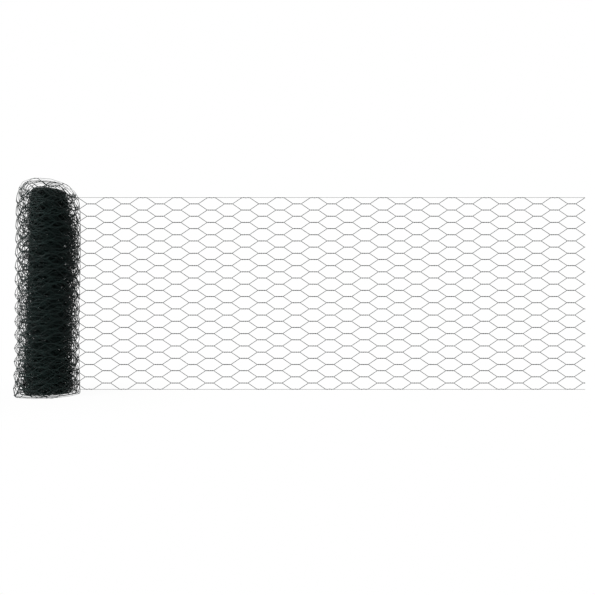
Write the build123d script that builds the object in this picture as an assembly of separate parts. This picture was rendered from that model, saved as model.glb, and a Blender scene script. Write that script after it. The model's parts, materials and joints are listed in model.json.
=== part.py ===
from build123d import *
import math
import os

# A roll of hexagonal wire netting standing on its end, with its free end drawn out flat.
# All sizes are in millimetres. The origin is on the roll's axis, at the end it stands on,
# with +Z up the axis and +X along the flat stretch, which leaves the roll at its back.

# The netting
netting_width = 500.0      # from the outside of one edge wire to the outside of the other
mesh_width = 32.1          # between two twists one above the other, across the netting
repeat_length = 89.1       # between two twists in one row, along the netting
twist_length = 23.0        # where two wires are wound round each other
wire_diameter = 1.3        # one wire with its plastic coat
wires_in_twist = 2

# The wound part: ridges stand for its turns, close together in the core and loose round it
bore_radius = 15.0
ridge_width = 1.8          # a turn is as thick as a wire in some places and as a twist in others
tight_ridge_count = 14     # each stands for about three turns of the real netting
tight_ridge_pitch = 3.0
tight_groove_depth = 3.0
core_dome_height = 13.0    # how much higher the turns at the bore stand than those round the core
loose_ridge_count = 7      # one for each loose turn
loose_ridge_pitch = 3.3
loose_step_height = 3.8    # how much higher each loose turn stands than the one inside it
loose_groove_depth = 9.0

# The flat stretch
flat_length = 1363.0       # from the line where it leaves the roll to its cut wire ends
cut_end_length = 4.0       # what is left of the last row of twists, where the netting was cut
free_end_columns = 15      # columns of twists in the half of the flat stretch with the free end

# Worked out from the sizes above
core_radius = bore_radius + tight_ridge_count * tight_ridge_pitch
roll_radius = core_radius + loose_ridge_count * loose_ridge_pitch
twist_width = wires_in_twist * wire_diameter
edge_row_line = twist_width / 2
row_count = round((netting_width - 2 * edge_row_line) / (mesh_width / 2))
row_step = (netting_width - 2 * edge_row_line) / row_count
column_step = repeat_length / 2
cell_half_length = (repeat_length - twist_length) / 2
last_column_x = flat_length - cut_end_length + twist_length / 2


def ridges():
    """Each turn that shows, from the bore outwards: its two radii, its top, and the groove inside it."""
    turns = []
    for ridge in range(tight_ridge_count):
        outer = bore_radius + (ridge + 1) * tight_ridge_pitch
        inner = outer - ridge_width
        if ridge == 0:
            inner = bore_radius
        share_to_edge = ridge / (tight_ridge_count - 1)
        height = netting_width + core_dome_height * (1 - share_to_edge ** 2)
        turns.append((inner, outer, height, tight_groove_depth))
    for ridge in range(loose_ridge_count):
        outer = core_radius + (ridge + 1) * loose_ridge_pitch
        height = netting_width + (ridge + 1) * loose_step_height
        turns.append((outer - ridge_width, outer, height, loose_groove_depth))
    return turns


def rolled_netting():
    """The wound part: one turned solid with its bore, ridged by its turns at both ends."""
    bottom = []
    top = []
    for inner, outer, height, groove in ridges():
        if bottom:
            gap_inner, gap_top = top[-1]
            gap_floor = min(gap_top, height) - groove
            bottom += [(gap_inner, groove), (inner, groove)]
            top += [(gap_inner, gap_floor), (inner, gap_floor)]
        bottom += [(inner, 0), (outer, 0)]
        top += [(inner, height), (outer, height)]
    outline = bottom + list(reversed(top))
    section = Plane.XZ * make_face(Polyline(*outline, close=True))
    return revolve(section, Axis.Z)


def upper_half_opening():
    """Corners of an opening's upper half, from its right-hand point to its left-hand one."""
    slope = math.atan2(row_step, cell_half_length - twist_length / 2)
    point = cell_half_length - wire_diameter / 2 / math.sin(slope)
    under_twist = row_step - twist_width / 2
    shoulder = point - under_twist / math.tan(slope)
    return [(point, 0), (shoulder, under_twist), (-shoulder, under_twist), (-point, 0)]


def whole_opening():
    """One six-sided opening, long way along the netting, between four wires and two twists."""
    upper = upper_half_opening()
    lower = [(-x, -y) for x, y in upper[1:3]]
    return make_face(Polyline(*upper, *lower, close=True))


def edge_opening():
    """The half of an opening that is left beside a straight edge wire, above the wire."""
    return make_face(Polyline(*upper_half_opening(), close=True))


def column_openings(x, first_row):
    """The openings one above the other at x, from one edge wire to the other."""
    whole = whole_opening()
    half = edge_opening()
    openings = []
    for row in range(first_row, row_count + 1, 2):
        place = Pos(x, edge_row_line + row * row_step)
        if row == 0:
            openings.append(place * half)
        elif row == row_count:
            openings.append(place * Rot(0, 0, 180) * half)
        else:
            openings.append(place * whole)
    return openings


def flat_netting(left, right):
    """A stretch of the flat netting, as thick as a twist, with its two straight edge wires.

    Columns of openings are counted back from the cut end, where the last twist lies on the top edge.
    In every second column the openings start half a mesh higher.
    """
    sheet = Pos((left + right) / 2, netting_width / 2) * Rectangle(right - left, netting_width)
    openings = []
    for column in range(math.ceil((last_column_x - left) / column_step) + 1):
        x = last_column_x - column * column_step
        if left - cell_half_length < x < right + cell_half_length:
            openings += column_openings(x, first_row=(row_count + 1 + column) % 2)
    back = Plane.XZ.offset(-roll_radius - twist_width)
    return extrude(back * (sheet - openings), twist_width)


split_x = last_column_x - free_end_columns * column_step
nodes = {
    "rolled_netting": rolled_netting(),
    "flat_netting_by_roll": flat_netting(0, split_x),
    "flat_netting_free_end": flat_netting(split_x, flat_length),
}

os.makedirs("parts", exist_ok=True)
for name, solid in nodes.items():
    export_step(solid, f"parts/{name}.step")
    print(name, "volume", round(solid.volume), "faces", len(solid.faces()))
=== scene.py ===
# %% [markdown]
# # A roll of chicken wire
#
# The real thing is one long piece of six-sided wire netting. A machine lays hundreds of wires side
# by side, twists each with its neighbour, parts them and twists each with the neighbour on its other
# side. So the whole netting is one small event, a twist with four wires leaving it, repeated.
# This script works in the same way: it models one twist, repeats it into columns, repeats
# the columns into a strip, and winds most of that strip into a roll.
#
# The solids of the roll are loaded first. They hold the true sizes and places, so every size here
# is read from them where it can be.

# %% Load the solids that the netting is fitted to
import bmesh
import bpy
import json
import math
import numpy as np
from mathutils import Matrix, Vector


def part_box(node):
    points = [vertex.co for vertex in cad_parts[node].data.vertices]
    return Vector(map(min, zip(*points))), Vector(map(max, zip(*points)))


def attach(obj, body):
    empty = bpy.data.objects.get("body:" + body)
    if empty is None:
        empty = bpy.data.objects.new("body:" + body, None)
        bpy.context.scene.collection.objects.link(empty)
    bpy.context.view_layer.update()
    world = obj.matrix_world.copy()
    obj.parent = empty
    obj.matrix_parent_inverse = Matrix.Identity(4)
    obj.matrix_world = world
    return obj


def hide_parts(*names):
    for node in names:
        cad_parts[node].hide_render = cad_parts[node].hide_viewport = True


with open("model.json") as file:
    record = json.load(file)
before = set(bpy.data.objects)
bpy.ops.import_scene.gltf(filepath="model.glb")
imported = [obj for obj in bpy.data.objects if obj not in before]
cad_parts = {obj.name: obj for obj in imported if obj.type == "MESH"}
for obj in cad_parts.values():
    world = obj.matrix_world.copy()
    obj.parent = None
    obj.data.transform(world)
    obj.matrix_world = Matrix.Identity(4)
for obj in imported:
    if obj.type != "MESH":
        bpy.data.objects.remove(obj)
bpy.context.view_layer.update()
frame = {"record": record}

near_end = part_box("flat_netting_by_roll")
free_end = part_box("flat_netting_free_end")
bore = next(mount for mount in frame["record"]["mounts"] if mount["name"] == "bore")

# %% [markdown]
# ## Sizes
#
# A twist is two wires thick, and so is the flat solid, which gives the wire's thickness. The other
# sizes of the pattern belong to the machine that made it: how far apart the twists are and how long
# they are. The middle line of the twists on an edge lies a little more than one wire inside that
# edge, so that even the outermost corners of the wires stay inside the solids.

# %% Sizes of the netting, in metres
wire = (near_end[1].y - near_end[0].y) / 2
netting_width = near_end[1].z
flat_length = free_end[1].x
mesh_width = 0.0321
repeat_length = 0.0891
twist_length = 0.023
edge_margin = 1.13 * wire
sheet_y = near_end[1].y - edge_margin
row_count = round((netting_width - 2 * edge_margin) / (mesh_width / 2))
row_step = (netting_width - 2 * edge_margin) / row_count
merge_distance = wire / 100
print("wire", round(wire, 5), "rows", row_count, "row step", round(row_step, 5))

# %% [markdown]
# ## Small helpers
#
# Blender's operators act on whatever is selected. These helpers make sure that it is the right
# thing: one object, or the points of it that lie where a test says.

# %% Helpers for selecting, copying and applying


def make_active(*objects):
    """Selects these objects alone, the first one active."""
    bpy.ops.object.select_all(action='DESELECT')
    for item in objects:
        item.select_set(True)
    bpy.context.view_layer.objects.active = objects[0]


def select_points(item, test):
    """In edit mode, selects the points whose place passes the test."""
    mesh = bmesh.from_edit_mesh(item.data)
    for point in mesh.verts:
        point.select = test(point.co)
    mesh.select_flush_mode()
    bmesh.update_edit_mesh(item.data)


def own_copy(item, name):
    """A copy of an object with a mesh of its own."""
    twin = item.copy()
    twin.data = item.data.copy()
    twin.name = twin.data.name = name
    bpy.context.scene.collection.objects.link(twin)
    return twin


def move_mesh(item, x=0.0, y=0.0, z=0.0):
    """Moves the mesh, and leaves the object at the origin."""
    item.location = (x, y, z)
    make_active(item)
    bpy.ops.object.transform_apply(location=True, rotation=False, scale=False)


def repeat_along(item, count, step):
    """Repeats a mesh in a row, joined where the copies meet."""
    modifier = item.modifiers.new("repeat", 'ARRAY')
    modifier.use_relative_offset = False
    modifier.use_constant_offset = True
    modifier.constant_offset_displace = step
    modifier.count = count
    modifier.use_merge_vertices = True
    modifier.merge_threshold = merge_distance
    make_active(item)
    bpy.ops.object.modifier_apply(modifier="repeat")


def read_places(item):
    """The x, y and z of all points of a mesh, as three arrays."""
    places = np.empty(3 * len(item.data.vertices))
    item.data.vertices.foreach_get("co", places)
    return places.reshape(-1, 3).T


def write_places(item, x, y, z):
    """Puts all points of a mesh at new places."""
    item.data.vertices.foreach_set("co", np.column_stack((x, y, z)).ravel())
    item.data.update()


# %% [markdown]
# ## Two wires twisted together
#
# The pair could be a curve with a bevel, but an open tube that is subdivided along its length and
# doubled needs no curve at all: a Simple Deform modifier set to Twist turns the whole pair about its
# own axis, as the machine does. After an odd number of half turns the wires have swapped places, as
# they do all over the netting. On its edge they don't: there a mesh wire goes round the thinner edge
# wire in whole turns and comes back inwards. The two start a hair's breadth from touching, so that
# no two points of different wires fall together and get merged later.
#
# The number of sides, steps and half turns is set for each use. The netting has thousands of twists,
# so each one has only as many faces as its place in the roll can show. A wire with four sides looks
# thinner than a round one of the same radius, so its corners are set a little further out. The second
# wire is a copy of the first on the other side of the pair's axis, and where it has to be thinner,
# it is scaled towards that axis.

# %% A twisted pair of wires
wire_apart = 1.14 * wire


def corner_radius(sides):
    """Radius to the corners of a wire with few sides that looks as wide as a round one."""
    return wire * math.pi / (2 * sides * math.sin(math.pi / sides))


def twisted_pair(name, sides, steps, half_turns, second_share=1.0, second_side=1):
    """Two wires round each other along X, one above the other at both ends.

    An odd number of half turns swaps them. After an even number, the second wire, which can be
    thinner, is at both ends on the side that is asked for: 1 is up and -1 is down.
    """
    if half_turns % 2 == 1:
        start = (0, wire_apart / 2, 0)
    else:
        start = (0, 0, -second_side * (-1) ** (half_turns // 2) * wire_apart / 2)
    bpy.ops.object.select_all(action='DESELECT')
    bpy.ops.mesh.primitive_cylinder_add(
        vertices=sides,
        radius=corner_radius(sides),
        depth=twist_length,
        end_fill_type='NOTHING',
        location=start,
        rotation=(0, math.pi / 2, 0),
    )
    pair = bpy.context.active_object
    pair.name = name
    bpy.ops.object.transform_apply(location=True, rotation=True, scale=True)
    bpy.ops.object.mode_set(mode='EDIT')
    bpy.ops.mesh.select_mode(type='EDGE')
    bpy.ops.mesh.select_all(action='DESELECT')
    mesh = bmesh.from_edit_mesh(pair.data)
    for edge in mesh.edges:
        edge.select = abs(edge.verts[0].co.x - edge.verts[1].co.x) > twist_length / 2
    bmesh.update_edit_mesh(pair.data)
    bpy.ops.mesh.subdivide(number_cuts=steps - 1)
    bpy.ops.mesh.select_all(action='SELECT')
    bpy.ops.mesh.duplicate()
    bpy.ops.transform.resize(value=(1, -second_share, -second_share), center_override=(0, 0, 0))
    bpy.ops.object.mode_set(mode='OBJECT')
    twist = pair.modifiers.new("twist", 'SIMPLE_DEFORM')
    twist.deform_method = 'TWIST'
    twist.deform_axis = 'X'
    twist.angle = half_turns * math.pi
    bpy.ops.object.modifier_apply(modifier="twist")
    return pair


print("wires in a twist are", round(wire_apart, 5), "m apart, corners at", round(corner_radius(4), 5))

# %% [markdown]
# ## The wires that leave a twist
#
# Each wire is drawn on from its end by an extrude. Where a real wire bends, its section stays round,
# so the end ring is first turned by half the bend, extruded, and turned by the other half: a mitre.
# Inside the netting, four wires leave a twist and each goes half of the way to the next column. On
# the edge, two of them stay on the outside instead and make the straight edge wire, which the photo
# shows as a finer line than the others.

# %% Twists with the wires that leave them
edge_wire_share = 0.55


def draw_wire_on(piece, right, up, end_x, end_z, share=1.0):
    """Extrudes one wire from the twist to (end_x, end_z), mitred where it bends."""
    from_x = right * twist_length / 2
    from_z = up * share * wire_apart / 2
    bpy.ops.object.mode_set(mode='EDIT')
    bpy.ops.mesh.select_mode(type='VERT')
    select_points(piece, lambda place: abs(place.x - from_x) < merge_distance and place.z * up > 0)
    half_bend = math.atan2(end_z - from_z, (end_x - from_x) * right) * right / 2
    bpy.ops.transform.rotate(value=half_bend, orient_axis='Y', center_override=(from_x, 0, from_z))
    way = (end_x - from_x, 0, end_z - from_z)
    bpy.ops.mesh.extrude_region_move(TRANSFORM_OT_translate={"value": way})
    bpy.ops.transform.rotate(value=half_bend, orient_axis='Y', center_override=(end_x, 0, end_z))
    bpy.ops.object.mode_set(mode='OBJECT')


def inner_twist(name, **wires):
    """A twist inside the netting, with the near halves of the four wires that leave it."""
    piece = twisted_pair(name, **wires)
    for right in (-1, 1):
        for up in (-1, 1):
            draw_wire_on(piece, right, up, right * repeat_length / 4, up * row_step / 2)
    return piece


def edge_twist(name, outward, sides, steps, half_turns):
    """A twist on the netting's edge: a mesh wire winds round the edge wire and goes back inside."""
    piece = twisted_pair(name, sides, steps, half_turns - 1, edge_wire_share, outward)
    edge_line = outward * edge_wire_share * wire_apart / 2
    for right in (-1, 1):
        draw_wire_on(piece, right, -outward, right * repeat_length / 4, -outward * row_step / 2)
        draw_wire_on(piece, right, outward, right * repeat_length / 2, edge_line, edge_wire_share)
    return piece


print("edge wire", round(edge_wire_share * wire, 5), "m thick")

# %% [markdown]
# ## One pair of columns
#
# Twists in neighbouring columns lie half a mesh apart in height, so the smallest piece of netting
# that repeats along the roll is two columns: one with its edge twist at the top, one at the bottom.
# Once it is joined and its doubles are merged, every wire runs on without a break. The netting was
# pulled a little askew when it was drawn off the roll, so its columns aren't quite square to the
# edges. That lean is one sum for each point, because the shear operator needs a window.
#
# Four such pairs are made, alike but for their twists: the fewer of its details a part of the
# netting can show, the fewer steps and half turns its twists have.

# %% Two neighbouring columns, from edge to edge
column_lean = 0.010


def column_pair(name, **wires):
    """Two columns of twists, the first at x = 0 and the second half a repeat to its right."""
    bottom_row = edge_margin
    top_row = netting_width - edge_margin
    inner_rows = (row_count - 1) // 2
    first = inner_twist(name, **wires)
    second = own_copy(first, "second")
    move_mesh(first, 0, 0, top_row - 2 * row_step)
    move_mesh(second, repeat_length / 2, 0, top_row - row_step)
    for column in (first, second):
        repeat_along(column, inner_rows, (0, 0, -2 * row_step))
    upper_edge = edge_twist("upper_edge", 1, **wires)
    move_mesh(upper_edge, 0, 0, top_row)
    lower_edge = edge_twist("lower_edge", -1, **wires)
    move_mesh(lower_edge, repeat_length / 2, 0, bottom_row)
    make_active(first, second, upper_edge, lower_edge)
    bpy.ops.object.join()
    bpy.ops.object.mode_set(mode='EDIT')
    bpy.ops.mesh.select_all(action='SELECT')
    bpy.ops.mesh.remove_doubles(threshold=merge_distance)
    bpy.ops.mesh.normals_make_consistent(inside=False)
    bpy.ops.object.mode_set(mode='OBJECT')
    x, y, z = read_places(first)
    write_places(first, x + column_lean * (z - netting_width / 2), y, z)
    print(name, "has", len(first.data.polygons), "faces")
    return first


flat_columns = column_pair("flat_columns", sides=4, steps=10, half_turns=5)
loose_columns = column_pair("loose_columns", sides=4, steps=8, half_turns=3)
tight_columns = column_pair("tight_columns", sides=4, steps=6, half_turns=3)
hidden_columns = column_pair("hidden_columns", sides=4, steps=3, half_turns=1)

# %% [markdown]
# ## The coat on the wire
#
# The wire is galvanised steel with a smooth, dark green plastic coat. Coated wire is a little uneven
# where the coat ran thicker and where the machine rubbed it, so two greens are mixed by noise, the
# gloss changes with a finer noise, and a very fine bump breaks the highlight along the wire. Where
# the wires are cut, their bare steel shows, dulled by the cutters.

# %% Materials


def add_node(tree, kind, **values):
    """Adds a node and sets its input sockets by name."""
    node = tree.nodes.new(kind)
    for socket, value in values.items():
        node.inputs[socket.replace("_", " ")].default_value = value
    return node


def green_coat():
    """Dark green plastic coat, smooth but not even."""
    material = bpy.data.materials.new("dark_green_coat")
    material.use_nodes = True
    tree = material.node_tree
    coat = tree.nodes["Principled BSDF"]
    coat.inputs["Specular IOR Level"].default_value = 0.20
    place = add_node(tree, "ShaderNodeTexCoord")
    patches = add_node(tree, "ShaderNodeTexNoise", Scale=60.0, Detail=2.0)
    greens = add_node(tree, "ShaderNodeValToRGB")
    greens.color_ramp.elements[0].position = 0.35
    greens.color_ramp.elements[0].color = (0.005, 0.013, 0.012, 1)
    greens.color_ramp.elements[1].position = 0.65
    greens.color_ramp.elements[1].color = (0.011, 0.027, 0.0245, 1)
    rub = add_node(tree, "ShaderNodeTexNoise", Scale=500.0, Detail=2.0)
    gloss = add_node(tree, "ShaderNodeMapRange", To_Min=0.30, To_Max=0.50)
    grain = add_node(tree, "ShaderNodeTexNoise", Scale=2500.0, Detail=1.0)
    bump = add_node(tree, "ShaderNodeBump", Strength=0.2, Distance=0.00005)
    for noise in (patches, rub, grain):
        tree.links.new(place.outputs["Object"], noise.inputs["Vector"])
    tree.links.new(patches.outputs["Fac"], greens.inputs["Fac"])
    tree.links.new(greens.outputs["Color"], coat.inputs["Base Color"])
    tree.links.new(rub.outputs["Fac"], gloss.inputs["Value"])
    tree.links.new(gloss.outputs["Result"], coat.inputs["Roughness"])
    tree.links.new(grain.outputs["Fac"], bump.inputs["Height"])
    tree.links.new(bump.outputs["Normal"], coat.inputs["Normal"])
    return material


def bare_steel():
    """The cut face of a wire, grey and scored by the cutters."""
    material = bpy.data.materials.new("cut_steel")
    material.use_nodes = True
    tree = material.node_tree
    steel = tree.nodes["Principled BSDF"]
    steel.inputs["Metallic"].default_value = 1.0
    steel.inputs["Base Color"].default_value = (0.42, 0.42, 0.40, 1)
    place = add_node(tree, "ShaderNodeTexCoord")
    scores = add_node(tree, "ShaderNodeTexWave", Scale=1500.0, Distortion=3.0, Detail=2.0)
    dulled = add_node(tree, "ShaderNodeMapRange", To_Min=0.35, To_Max=0.6)
    bump = add_node(tree, "ShaderNodeBump", Strength=0.3, Distance=0.00003)
    tree.links.new(place.outputs["Object"], scores.inputs["Vector"])
    tree.links.new(scores.outputs["Fac"], dulled.inputs["Value"])
    tree.links.new(dulled.outputs["Result"], steel.inputs["Roughness"])
    tree.links.new(scores.outputs["Fac"], bump.inputs["Height"])
    tree.links.new(bump.outputs["Normal"], steel.inputs["Normal"])
    return material


coat_material = green_coat()
steel_material = bare_steel()
for columns in (flat_columns, loose_columns, tight_columns, hidden_columns):
    columns.data.materials.append(coat_material)
    make_active(columns)
    bpy.ops.object.shade_smooth()
print("materials:", coat_material.name, steel_material.name)

# %% [markdown]
# ## The flat part
#
# The flat part is the finest strip, repeated from the free end back to the roll. At the free end
# someone cut the netting through its last column of twists. A bisect makes that cut: it clears what
# is beyond the plane and fills the cut wires. An inset then parts each cut face into its plastic
# coat and its steel, and only the inner face takes the steel's material slot.

# %% The flat netting and its cut end
cut_end_length = 0.004
coat_thickness = 0.0003


def close_wire_ends(piece):
    """Fills every wire end that is still an open tube."""
    make_active(piece)
    bpy.ops.object.mode_set(mode='EDIT')
    bpy.ops.mesh.select_all(action='SELECT')
    bpy.ops.mesh.fill_holes(sides=0)
    bpy.ops.object.mode_set(mode='OBJECT')


def cut_straight(piece, cut_x):
    """Cuts the wires off at cut_x, and shows the steel in their cut faces."""
    piece.data.materials.append(steel_material)
    make_active(piece)
    bpy.ops.object.mode_set(mode='EDIT')
    bpy.ops.mesh.select_mode(type='FACE')
    bpy.ops.mesh.select_all(action='SELECT')
    bpy.ops.mesh.bisect(plane_co=(cut_x, 0, 0), plane_no=(1, 0, 0), use_fill=True, clear_outer=True)
    mesh = bmesh.from_edit_mesh(piece.data)
    for face in mesh.faces:
        face.select = all(abs(corner.co.x - cut_x) < merge_distance for corner in face.verts)
        face.smooth = face.smooth and not face.select
    bmesh.update_edit_mesh(piece.data)
    bpy.ops.mesh.inset(thickness=coat_thickness, use_individual=True)
    piece.active_material_index = 1
    bpy.ops.object.material_slot_assign()
    bpy.ops.object.mode_set(mode='OBJECT')
    steel_faces = sum(face.material_index == 1 for face in piece.data.polygons)
    print("cut wires that show their steel:", steel_faces)


last_twist_x = flat_length - cut_end_length + twist_length / 2
flat_pairs = int(last_twist_x // repeat_length)
first_twist_x = last_twist_x - flat_pairs * repeat_length
flat_netting = own_copy(flat_columns, "flat_netting")
move_mesh(flat_netting, first_twist_x)
repeat_along(flat_netting, flat_pairs + 1, (repeat_length, 0, 0))
cut_straight(flat_netting, flat_length)
close_wire_ends(flat_netting)
move_mesh(flat_netting, 0, sheet_y)
print("flat netting", len(flat_netting.data.polygons), "faces,", flat_pairs, "repeats")

# %% [markdown]
# ## How the roll is wound
#
# Seen from above, the netting leaves the flat part at the back of the roll and goes round to the
# left. Seven outer turns are loose, three more lie slack on the core, and the core is wound tight,
# tightest on its outside. The netting comes in on the flat part's line and settles onto the first
# turn in about a third of a turn.
#
# The spiral is worked out once, as points with their distance along the netting, so that a point of
# the flat strip can be looked up by its distance from the flat part. A Curve modifier could bend the
# strip too, but here each turn also leans, bulges and rises in its own way, so one function moves
# every point and knows which turn it is on.

# %% The spiral that the netting follows
loose_turns = 7
slack_turns = 3
tight_turns = 39
loose_radius = 0.0763
slack_radius = 0.0605
core_radius = 0.0565
inner_radius = bore["dims"]["r_mm"] / 1000 + 2 * wire
loose_evenness = 0.65
core_evenness = 0.75
settle_turns = 0.3
points_per_turn = 72
lead_length = 0.1


def narrowing(share, evenness):
    """Goes from 0 to 1 with the share of turns, faster inwards the less even the turns are."""
    share = np.clip(share, 0, 1)
    return evenness * share + (1 - evenness) * share ** 2


def turn_radius(turn):
    """Distance of the netting's middle from the axis, for a count of turns from the flat part."""
    radius = loose_radius
    radius = radius - (loose_radius - slack_radius) * narrowing(turn / loose_turns, loose_evenness)
    radius -= (slack_radius - core_radius) * np.clip((turn - loose_turns) / slack_turns, 0, 1)
    into_core = (turn - loose_turns - slack_turns) / tight_turns
    radius -= (core_radius - inner_radius) * narrowing(into_core, core_evenness)
    settled = np.clip(turn / settle_turns, 0, 1)
    return radius + (sheet_y - loose_radius) * (1 + np.cos(np.pi * settled)) / 2


all_turns = loose_turns + slack_turns + tight_turns
wound_turns = np.arange(all_turns * points_per_turn + 1) / points_per_turn
wound_radii = turn_radius(wound_turns)
path_x = np.append(lead_length, -wound_radii * np.sin(2 * np.pi * wound_turns))
path_y = np.append(sheet_y, wound_radii * np.cos(2 * np.pi * wound_turns))
path_turn = np.append(0.0, wound_turns)
path_step = np.hypot(np.diff(path_x), np.diff(path_y))
path_distance = np.append(0.0, np.cumsum(path_step)) - lead_length
slope_x = np.gradient(path_x, path_distance)
slope_y = np.gradient(path_y, path_distance)
wound_length = path_distance[-1]
print("netting in the roll", round(wound_length, 2), "m, whole", round(wound_length + flat_length, 2))

# %% [markdown]
# ## Loose netting is uneven
#
# Nothing in a loosely wound roll is quite round. A loose turn is drawn in at every second row of its
# twists and bulges between them, most on the left and in its lower half. Close to its top edge it
# bends inwards like a shoulder, and all turns wander in and out a little. A Displace modifier with a
# noise texture could do the last of these, but not the others, since it doesn't know which turn and
# row a point is on. So each kind of unevenness is a small function of its own, which answers for all
# points at once. A sum of a few waves of unlike lengths looks chance, but is the same in each run.

# %% How far a turn bulges and wanders in and out
neck_depth = 0.0062
neck_by_height = (
    [0, 0.05, 0.12, 0.20, 0.45, 0.58, 0.72, 0.85],
    [0.0, 0.1, 0.6, 1.0, 0.9, 0.45, 0.1, 0.0],
)
neck_by_side = ([-1, 0, 1], [0.6, 0.3, 1.0])
neck_change = 0.3
neck_waves = (0.41, 0.23, 0.137)
wander = 0.0006
wander_waves = (0.31, 0.19, 0.083)
wander_slant = 0.35
shoulder_height = 0.045
shoulder_depth = 0.009


def wound_in(turn):
    """0 on the flat part, and 1 from a quarter of a turn on."""
    return np.clip(turn / 0.25, 0, 1)


def looseness(turn):
    """1 where the flat part comes in, and 0 from the core on."""
    return np.clip(1 - turn / (loose_turns + slack_turns), 0, 1)


def waves(place, lengths, phase):
    """The mean of waves of unlike lengths, each starting elsewhere, between -1 and 1."""
    total = 0
    for number, length in enumerate(lengths):
        total = total + np.sin(2 * np.pi * place / length + phase * (number + 1.7))
    return total / len(lengths)


def outward(distance, turn, height):
    """How far a point of the netting lies outside the plain spiral."""
    near_row = 1 - np.abs(np.sin(np.pi * (height - edge_margin) / (2 * row_step)))
    neck = neck_depth * np.interp(height / netting_width, *neck_by_height)
    neck *= np.interp(np.sin(2 * np.pi * turn), *neck_by_side)
    neck *= 1 + neck_change * waves(distance, neck_waves, phase=1.0)
    dent = wander * waves(distance + wander_slant * height, wander_waves, phase=2.0)
    at_shoulder = np.clip(1 - (netting_width - height) / shoulder_height, 0, 1) ** 2
    drawn_in = neck * near_row + shoulder_depth * at_shoulder
    return wound_in(turn) * (dent - looseness(turn) * drawn_in)


print("loose turns are drawn in by up to", neck_depth, "m between their bulges")

# %% [markdown]
# ## The turns lean and narrow
#
# The roll isn't straight. Its core leans to the right, most at about three quarters of its height,
# and narrows at the top, while the loose turns lean much less. A lattice could bend the roll, but it
# would move the loose turns and the core alike. So each of them has a short list of heights, as
# shares of the netting's width, with the amount for each, and values between are interpolated.

# %% How far the turns lean, and how wide they are at each height
loose_lean = ([0, 0.5, 1.0], [-0.0013, 0.0005, 0.0025])
loose_swell = ([0, 0.2, 1.0], [1.025, 1.0, 0.99])
core_lean = (
    [0, 0.13, 0.30, 0.53, 0.65, 0.80, 0.88, 0.94, 1.0],
    [0.0015, 0.0005, 0.0029, 0.0060, 0.0095, 0.0099, 0.0062, 0.0025, 0.0010],
)
core_swell = (
    [0, 0.13, 0.20, 0.80, 0.88, 0.94, 1.0],
    [1.0, 0.965, 0.93, 0.94, 0.87, 0.79, 0.71],
)


def leaned(x, y, turn, height):
    """Moves points sideways by their height, the loose turns one way and the core another."""
    share_up = height / netting_width
    loose = looseness(turn)
    from_bore = np.clip((turn_radius(turn) - inner_radius) / (core_radius - inner_radius), 0, 1)
    outer_swell = np.interp(share_up, *loose_swell) - 1
    inner_swell = np.interp(share_up, *core_swell) - 1
    swell = 1 + wound_in(turn) * (outer_swell * loose + inner_swell * (1 - loose) * from_bore)
    aside = np.interp(share_up, *loose_lean) * loose + np.interp(share_up, *core_lean) * (1 - loose)
    return x * swell + aside * from_bore * wound_in(turn), y * swell


print("the core leans by up to", max(core_lean[1]), "m")

# %% [markdown]
# ## The turns have slid on each other
#
# As the netting was drawn off, the turns slid up on each other. At the front of the roll the outermost
# turn stands highest, the other loose ones in a bundle just below it, and the slack ones lowest. The
# middle of the core has risen too, and its foot is a few millimetres clear of the floor. The rows of
# each turn lie some millimetres off those of the next, and the ends of the roll are rough. A Shear or
# a proportional edit could lift the front of a whole mesh, but only a function that knows the turn of
# each point can lift one turn and not the next.

# %% How far the turns have risen
loose_lift = 0.0245
lift_of_turn = (
    [0, 0.5, 1.5, 2.5, 3.5, 4.5, 5.5, 6.5, 7.5, 8.5, 9.5, 10.5, 11.5],
    [1.0, 0.98, 0.88, 0.83, 0.81, 0.79, 0.76, 0.73, 0.32, 0.25, 0.17, 0.08, 0.0],
)
lift_angle = math.radians(-10)
left_spread = 0.80
right_spread = 1.15
dome_height = 0.009
foot_rise = 0.004
still_ends = 0.15
loose_row_shift = 0.006
tight_row_shift = 0.016
row_shift_each_turn = 0.618
row_shift_upwards = 1.4
rough_loose_edge = 0.003
rough_tight_edge = 0.006
foot_edge_each_turn = 0.77
top_edge_each_turn = 0.59


def eased(share):
    """Rises smoothly from 0 to 1."""
    share = np.clip(share, 0, 1)
    return share ** 2 * (3 - 2 * share)


def zigzag(place):
    """Goes evenly up and down between -1 and 1, once for each 1 of the place."""
    return np.arcsin(np.sin(2 * np.pi * place)) * 2 / np.pi


def raised(x, y, turn, height):
    """The height of points once the turns have slid up and their rows have shifted."""
    share_up = height / netting_width
    loose = looseness(turn)
    from_front = np.arctan2(-x, -y) - lift_angle
    spread = np.where(from_front > 0, left_spread, right_spread)
    at_front = np.clip(np.cos(np.clip(from_front * spread, -np.pi / 2, np.pi / 2)), 0, 1)
    lift = loose_lift * np.interp(turn, *lift_of_turn) * at_front
    across_core = np.clip(turn_radius(turn) / core_radius, 0, 1)
    dome = dome_height * np.sqrt(1 - across_core ** 2)
    off_ends = eased(share_up / still_ends) * eased((1 - share_up) / still_ends)
    off_left = 1 - np.clip(np.sin(2 * np.pi * turn), 0, 1)
    row_shift = loose_row_shift * off_left * loose + tight_row_shift * (1 - loose)
    shift = row_shift * off_ends * zigzag(row_shift_each_turn * turn + row_shift_upwards * share_up)
    rough_edge = rough_loose_edge * loose * np.clip(turn - 1, 0, 1) + rough_tight_edge * (1 - loose)
    foot_edge = (1 - share_up) * (1 + zigzag(foot_edge_each_turn * turn)) / 2
    top_edge = share_up * (1 - zigzag(top_edge_each_turn * turn)) / 2
    edge = rough_edge * (foot_edge - top_edge)
    rise = (lift + dome) * share_up + foot_rise * (1 - loose) * (1 - share_up) + shift + edge
    return height + rise * wound_in(turn)


print("the loose turns are lifted by up to", loose_lift, "m at the front")

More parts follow.
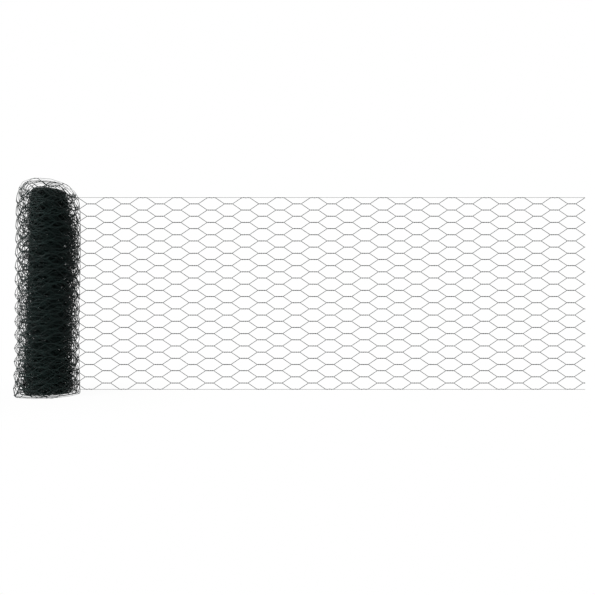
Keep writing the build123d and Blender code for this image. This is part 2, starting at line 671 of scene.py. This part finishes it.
# %% [markdown]
# ## Winding a strip
#
# A strip that carries the flat part on, straight past the roll, can now be wound. Each of its points
# is looked up on the spiral by its distance along the netting, set off across the spiral by where it
# lay in the netting's thickness and by its bulge, and then leaned and raised. A loop over hundreds of
# thousands of points would be slow, so the functions work on whole arrays of places.

# %% Wind a strip of netting into the roll


def wind(piece):
    """Moves every point of a flat strip to its place in the roll."""
    along, thickness, height = read_places(piece)
    distance = -along
    turn = np.interp(distance, path_distance, path_turn)
    out = thickness + outward(distance, turn, height)
    way_x = np.interp(distance, path_distance, slope_x)
    way_y = np.interp(distance, path_distance, slope_y)
    way = np.hypot(way_x, way_y)
    x = np.interp(distance, path_distance, path_x) + out * way_y / way
    y = np.interp(distance, path_distance, path_y) - out * way_x / way
    x, y = leaned(x, y, turn, height)
    write_places(piece, x, y, raised(x, y, turn, height))


print("a strip is wound along", len(path_distance), "points of the spiral")

# %% [markdown]
# ## The wound pieces
#
# The wound netting is one piece in reality. Here it is four meshes, so that none of them is too
# heavy: the loose turns, which show best, have the finer twists, the outside of the core coarser
# ones, and the middle of the core, which only shows at its two ends, the coarsest.

# %% The wound netting, from the outside in
outer_core_turns = 12


def pairs_to(turn):
    """How many pairs of columns lie between the flat part and this turn."""
    return int(np.interp(turn, path_turn, path_distance) // repeat_length)


def wound_piece(columns, name, first_pair, end_pair):
    """Some column pairs of the roll, counted inwards from the flat part."""
    piece = own_copy(columns, name)
    move_mesh(piece, first_twist_x - end_pair * repeat_length)
    repeat_along(piece, end_pair - first_pair, (repeat_length, 0, 0))
    close_wire_ends(piece)
    wind(piece)
    print(name, end_pair - first_pair, "repeats,", len(piece.data.polygons), "faces")
    return piece


loose_pairs = pairs_to(loose_turns + slack_turns)
outer_core_pairs = pairs_to(loose_turns + slack_turns + outer_core_turns)
all_pairs = pairs_to(all_turns)
wound_netting = [
    wound_piece(loose_columns, "outer_loose_turns", 0, loose_pairs // 2),
    wound_piece(loose_columns, "inner_loose_turns", loose_pairs // 2, loose_pairs),
    wound_piece(tight_columns, "outer_tight_turns", loose_pairs, outer_core_pairs),
    wound_piece(hidden_columns, "inner_tight_turns", outer_core_pairs, all_pairs),
]
for pattern in (flat_columns, loose_columns, tight_columns, hidden_columns):
    bpy.data.objects.remove(pattern)

# %% [markdown]
# ## What each piece belongs to
#
# The roll is one rigid thing, so all of its netting rides on the one body, and it has one finish. The
# flat netting stands for both of the flat solids, and the four wound pieces for the turned one.

# %% What each piece rides on and stands for
for piece in [flat_netting] + wound_netting:
    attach(piece, "root")
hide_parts("flat_netting_by_roll", "flat_netting_free_end")
for piece in wound_netting:
    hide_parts("rolled_netting")
print("pieces:", ", ".join(piece.name for piece in [flat_netting] + wound_netting))

# %% [markdown]
# ## The floor and the world
#
# The picture has a plain white ground with hardly a shadow. The floor is a pale matt plane that the
# camera sees mostly as plain white, so only a trace of the roll's shadow is left near its foot. The
# world is white to the camera and lights the netting softly from all sides. Brighter lamps could
# turn the floor white too, but they would light the dark wires more than the photo shows.

# %% The world and the floor
world_strength = 0.15
floor_size = 20
floor_white_near = 0.97
shadow_from = 0.1
shadow_to = 0.4


def seen_ray(tree):
    """1 where the camera looks, straight or by way of gloss or glass, and 0 where light travels."""
    rays = add_node(tree, "ShaderNodeLightPath")
    total = rays.outputs["Is Camera Ray"]
    for kind in ("Is Glossy Ray", "Is Transmission Ray"):
        both = add_node(tree, "ShaderNodeMath")
        both.operation = 'ADD'
        both.use_clamp = True
        tree.links.new(total, both.inputs[0])
        tree.links.new(rays.outputs[kind], both.inputs[1])
        total = both.outputs[0]
    return total


def empty_tree(owner):
    """Turns the nodes of a material or world on, and clears them."""
    owner.use_nodes = True
    owner.node_tree.nodes.clear()
    return owner.node_tree


def white_world():
    """A world that is plain white to look at and a soft light all round."""
    world = bpy.data.worlds.new("soft_white")
    tree = empty_tree(world)
    light = add_node(tree, "ShaderNodeBackground", Color=(1, 1, 1, 1), Strength=world_strength)
    white = add_node(tree, "ShaderNodeBackground", Color=(1, 1, 1, 1), Strength=1.0)
    choose = add_node(tree, "ShaderNodeMixShader")
    result = add_node(tree, "ShaderNodeOutputWorld")
    tree.links.new(seen_ray(tree), choose.inputs[0])
    tree.links.new(light.outputs[0], choose.inputs[1])
    tree.links.new(white.outputs[0], choose.inputs[2])
    tree.links.new(choose.outputs[0], result.inputs["Surface"])
    return world


def white_ground():
    """Matt white paper, seen as plain white but for a trace of shadow near the roll."""
    material = bpy.data.materials.new("white_ground")
    tree = empty_tree(material)
    paper = add_node(tree, "ShaderNodeBsdfDiffuse", Color=(0.9, 0.9, 0.9, 1))
    white = add_node(tree, "ShaderNodeEmission", Strength=1.0)
    place = add_node(tree, "ShaderNodeTexCoord")
    from_roll = add_node(tree, "ShaderNodeVectorMath")
    from_roll.operation = 'LENGTH'
    fade = add_node(tree, "ShaderNodeMapRange", To_Min=floor_white_near)
    fade.inputs["From Min"].default_value = shadow_from
    fade.inputs["From Max"].default_value = shadow_to
    share = add_node(tree, "ShaderNodeMath")
    share.operation = 'MULTIPLY'
    choose = add_node(tree, "ShaderNodeMixShader")
    result = add_node(tree, "ShaderNodeOutputMaterial")
    tree.links.new(place.outputs["Object"], from_roll.inputs[0])
    tree.links.new(from_roll.outputs["Value"], fade.inputs["Value"])
    tree.links.new(fade.outputs["Result"], share.inputs[0])
    tree.links.new(seen_ray(tree), share.inputs[1])
    tree.links.new(share.outputs[0], choose.inputs[0])
    tree.links.new(paper.outputs[0], choose.inputs[1])
    tree.links.new(white.outputs[0], choose.inputs[2])
    tree.links.new(choose.outputs[0], result.inputs["Surface"])
    return material


bpy.context.scene.world = white_world()
bpy.ops.object.select_all(action='DESELECT')
bpy.ops.mesh.primitive_plane_add(size=floor_size)
floor = bpy.context.active_object
floor.name = "floor"
floor.data.materials.append(white_ground())
print("world", world_strength, "floor at least", floor_white_near, "white")

# %% [markdown]
# ## The lamp
#
# One large lamp stands high at the left front. Its light comes in at a slant, so it catches the front
# turns and leaves the depths of the core dark, which is what makes single wires show there. A sun or
# a point lamp would do the same with hard edges, and the photo has none.

# %% The lamp
lamp_place = Vector((-1.5, -1.2, 1.9))
lamp_aim = Vector((0.3, 0, 0.25))
lamp_width = 1.0
lamp_watts = 60
lamp_data = bpy.data.lights.new("soft_lamp", 'AREA')
lamp_data.size = lamp_width
lamp_data.energy = lamp_watts
lamp = bpy.data.objects.new("soft_lamp", lamp_data)
bpy.context.scene.collection.objects.link(lamp)
lamp.location = lamp_place
lamp.rotation_euler = (lamp_aim - lamp_place).to_track_quat('-Z', 'Y').to_euler()
print("lamp", lamp_width, "m wide,", lamp_watts, "watts")

# %% [markdown]
# ## The camera
#
# The flat netting is seen square on, so the camera is level and looks straight at it. Its distance is
# a compromise: the photo seems to be put together from two, with the netting seen from far away and
# the roll from close by. The lens isn't chosen but worked out, from that distance and from how many
# pixels a metre of the flat netting takes up in the photo.

# %% The camera
camera_distance = 1.70
camera_x = 0.6164
camera_height = 0.2395
picture_pixels = 595
pixels_per_metre = 385.3
camera_data = bpy.data.cameras.new("camera")
camera_data.lens = camera_data.sensor_width * camera_distance * pixels_per_metre / picture_pixels
camera_data.clip_start = 0.01
camera_data.clip_end = 50
camera = bpy.data.objects.new("camera", camera_data)
bpy.context.scene.collection.objects.link(camera)
camera.location = (camera_x, sheet_y - camera_distance, camera_height)
camera.rotation_euler = (math.pi / 2, 0, 0)
bpy.context.scene.camera = camera
bpy.context.scene.view_settings.view_transform = 'Standard'
print("lens", round(camera_data.lens, 1), "mm")
